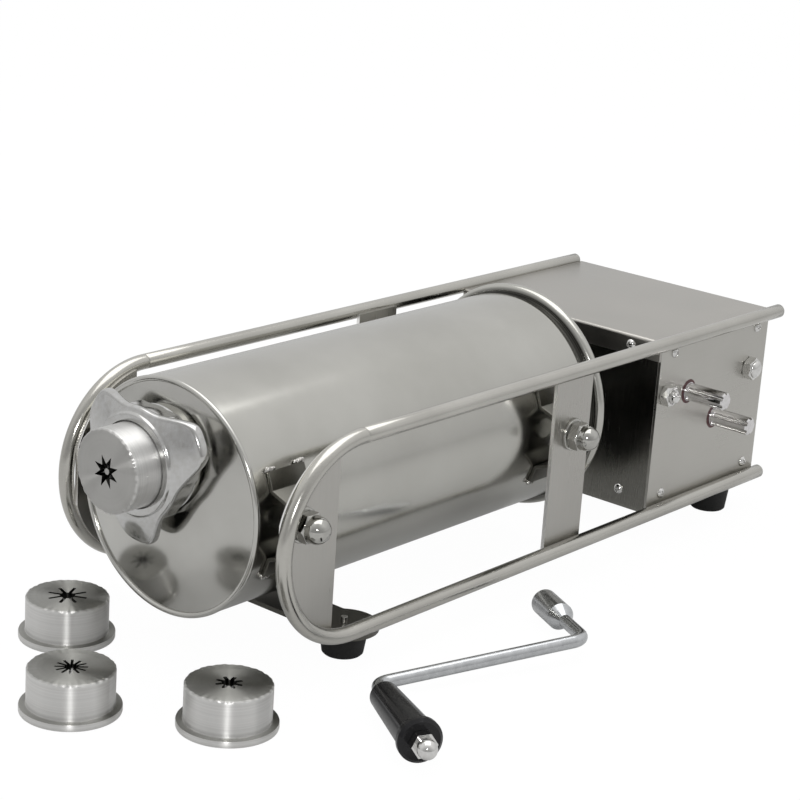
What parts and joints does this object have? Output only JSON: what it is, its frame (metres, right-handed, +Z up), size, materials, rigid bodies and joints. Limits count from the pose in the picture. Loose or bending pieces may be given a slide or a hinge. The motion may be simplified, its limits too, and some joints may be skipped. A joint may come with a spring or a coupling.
{
  "type": "churro maker",
  "caption": "Horizontal hand-cranked churro press: barrel in a bent-rod frame, rack-driven piston, geared crank shafts, wing nut with star die, loose dies and crank",
  "frame": {"origin": "Centre of the bounding box of the machine with its loose dies and crank, on the table top", "axes": "+X from the outlet to the gearbox, -Y is the side with the crank shafts, +Z up"},
  "size_m": [0.6312, 0.3141, 0.1714],
  "materials": {
    "rod_steel": "satin stainless rod",
    "strap_steel": "satin stainless strip",
    "rubber": "black moulded rubber",
    "barrel_steel": "polished stainless sheet",
    "bright_steel": "polished stainless fasteners",
    "cast_nut": "smooth cast and tumbled",
    "die_steel": "fine turned stainless",
    "sheet_steel": "brushed stainless sheet",
    "bush_bronze": "dark red bearing bush",
    "nylon": "white nylon",
    "gear_steel": "machined steel",
    "piston_steel": "turned stainless",
    "silicone": "red food silicone",
    "spring_steel": "drawn spring wire",
    "crank_chrome": "bright chrome plate",
    "grip_black": "glossy black moulding"
  },
  "bodies": {
    "frame": {"near_side_rail": "rod_steel", "far_side_rail": "rod_steel", "near_front_strap": "strap_steel", "far_front_strap": "strap_steel", "near_rear_strap": "strap_steel", "far_rear_strap": "strap_steel", "front_cross_plate": "strap_steel", "front_feet": "rubber", "rear_feet": "rubber", "foot_screws": "bright_steel", "barrel_tube": "barrel_steel", "barrel_head": "barrel_steel", "outlet_spout": "barrel_steel", "near_hat_brackets": "strap_steel", "far_hat_brackets": "strap_steel", "barrel_studs": "bright_steel", "strap_washers": "bright_steel", "cap_nuts": "bright_steel", "long_slot_die": "die_steel", "fine_slot_die": "die_steel", "short_slot_die": "die_steel", "case_channel": "sheet_steel", "top_cover": "sheet_steel", "near_panel": "sheet_steel", "far_panel": "sheet_steel", "near_panel_screws": "bright_steel", "far_panel_screws": "bright_steel", "end_plate_screws": "bright_steel", "near_bearing_plate": "sheet_steel", "far_bearing_plate": "sheet_steel", "shaft_bushes": "bush_bronze", "front_tie_bolt": "bright_steel", "rear_tie_bolt": "bright_steel", "tie_nuts": "bright_steel", "tie_spacers": "sheet_steel", "rack_guides": "nylon", "crank_rod": "crank_chrome", "crank_socket": "crank_chrome", "crank_cap_nut": "bright_steel"},
    "piston": {"rack_bar": "gear_steel", "piston_front_plate": "piston_steel", "piston_seal": "silicone", "piston_rear_plate": "piston_steel", "piston_bolt": "bright_steel", "valve_spring": "spring_steel"},
    "air_valve": {"valve_stem": "nylon"},
    "fast_drive": {"fast_shaft": "gear_steel", "large_gear": "gear_steel", "rack_pinion": "gear_steel"},
    "slow_drive": {"slow_shaft": "gear_steel", "small_pinion": "gear_steel"},
    "roller": {"guide_roller": "nylon"},
    "die": {"fitted_die": "die_steel"},
    "nut": {"wing_nut": "cast_nut"},
    "grip": {"crank_grip": "grip_black"}
  },
  "joints": [
    {"name": "rack_slide", "type": "slide", "parent": "frame", "child": "piston", "axis": [1, 0, 0], "range_m": [0, 0.28]},
    {"name": "valve_slide", "type": "slide", "parent": "piston", "child": "air_valve", "axis": [-1, 0, 0], "range_m": [0, 0.003], "stiffness_N_per_m": 200, "springref_m": -0.002, "deforming": ["valve_spring"]},
    {"name": "fast_shaft_turn", "type": "hinge", "parent": "frame", "child": "fast_drive", "pos_m": [0.24725, 0.0525, 0.0767], "axis": [0, 1, 0], "range_deg": [0, 1605]},
    {"name": "slow_shaft_turn", "type": "hinge", "parent": "frame", "child": "slow_drive", "pos_m": [0.21116, 0.0525, 0.10187], "axis": [0, 1, 0], "range_deg": [-4279, 0]},
    {"name": "roller_turn", "type": "hinge", "parent": "frame", "child": "roller", "pos_m": [0.28675, 0.0525, 0.105], "axis": [0, 1, 0], "range_deg": [-2006, 0]},
    {"name": "die_draw", "type": "slide", "parent": "frame", "child": "die", "axis": [-1, 0, 0], "range_m": [0, 0.012]},
    {"name": "nut_turn", "type": "hinge", "parent": "die", "child": "nut", "pos_m": [-0.22595, 0.0525, 0.1219], "axis": [-1, 0, 0], "range_deg": [0, 1440]},
    {"name": "grip_turn", "type": "hinge", "parent": "frame", "child": "grip", "pos_m": [-0.15765, -0.08442, 0.00853], "axis": [-0.5331, -0.8433, 0.0681], "continuous": true}
  ],
  "couplings": [
    {"joint": "fast_shaft_turn", "follows": "rack_slide", "rad_per_m": 100},
    {"joint": "slow_shaft_turn", "follows": "rack_slide", "rad_per_m": -266.67},
    {"joint": "roller_turn", "follows": "rack_slide", "rad_per_m": -125},
    {"joint": "die_draw", "follows": "nut_turn", "m_per_rad": 0.00047746}
  ]
}
